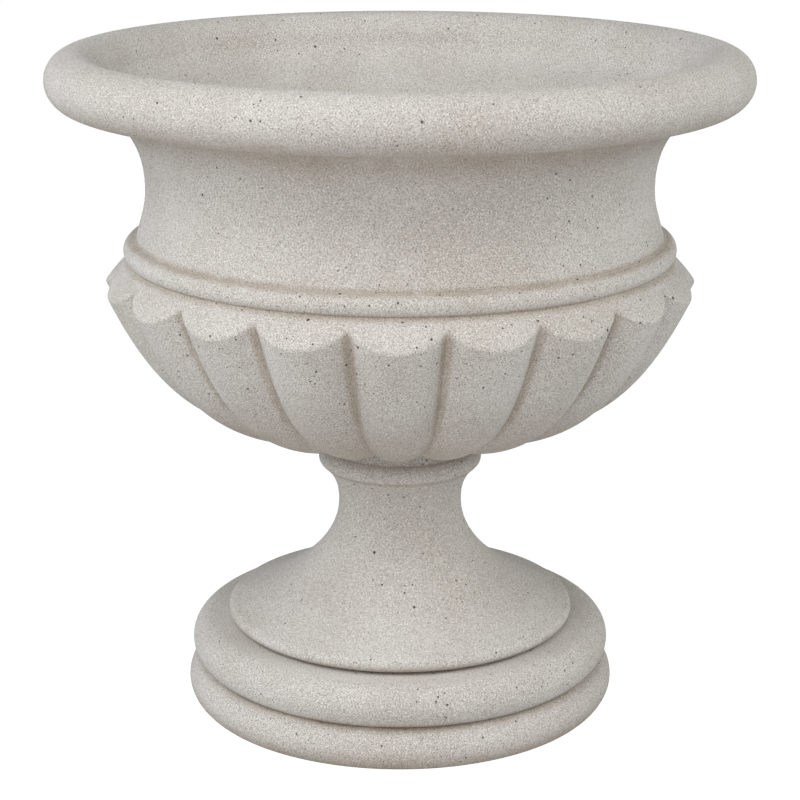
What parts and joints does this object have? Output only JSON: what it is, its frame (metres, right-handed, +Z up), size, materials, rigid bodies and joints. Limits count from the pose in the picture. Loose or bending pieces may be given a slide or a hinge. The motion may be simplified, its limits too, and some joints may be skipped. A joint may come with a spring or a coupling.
{
  "type": "urn planter",
  "caption": "round footed garden urn in pale cast stone with rolled rim, gadrooned bowl, waisted pedestal and ringed base, open at the top for planting and drained through the foot",
  "frame": {"origin": "middle of the underside, on the surface the urn stands on", "axes": "+Z up along the urn's axis of symmetry; -Y is the side seen in the picture, with a lobe facing it"},
  "size_m": [0.7099, 0.71, 0.6889],
  "materials": {
    "cast_stone_bowl": "fine-grained cast stone, matt, sparse air holes",
    "cast_stone_pedestal": "fine-grained cast stone, matt, sparse air holes",
    "cast_stone_base": "fine-grained cast stone, matt, sparse air holes",
    "mortar": "sandy bedding mortar, matt",
    "stainless": "turned stainless steel",
    "seal_rubber": "matt black rubber",
    "strainer_plastic": "matt black moulded plastic"
  },
  "bodies": {
    "root": {"base_plinth": "cast_stone_base", "pedestal": "cast_stone_pedestal", "bowl": "cast_stone_bowl", "base_mortar_bed": "mortar", "bowl_mortar_bed": "mortar", "tie_tube": "stainless", "well_seal": "seal_rubber", "upper_washer": "stainless", "upper_nut": "stainless", "lower_washer": "stainless", "lower_nut": "stainless", "drain_strainer": "strainer_plastic"}
  },
  "joints": []
}
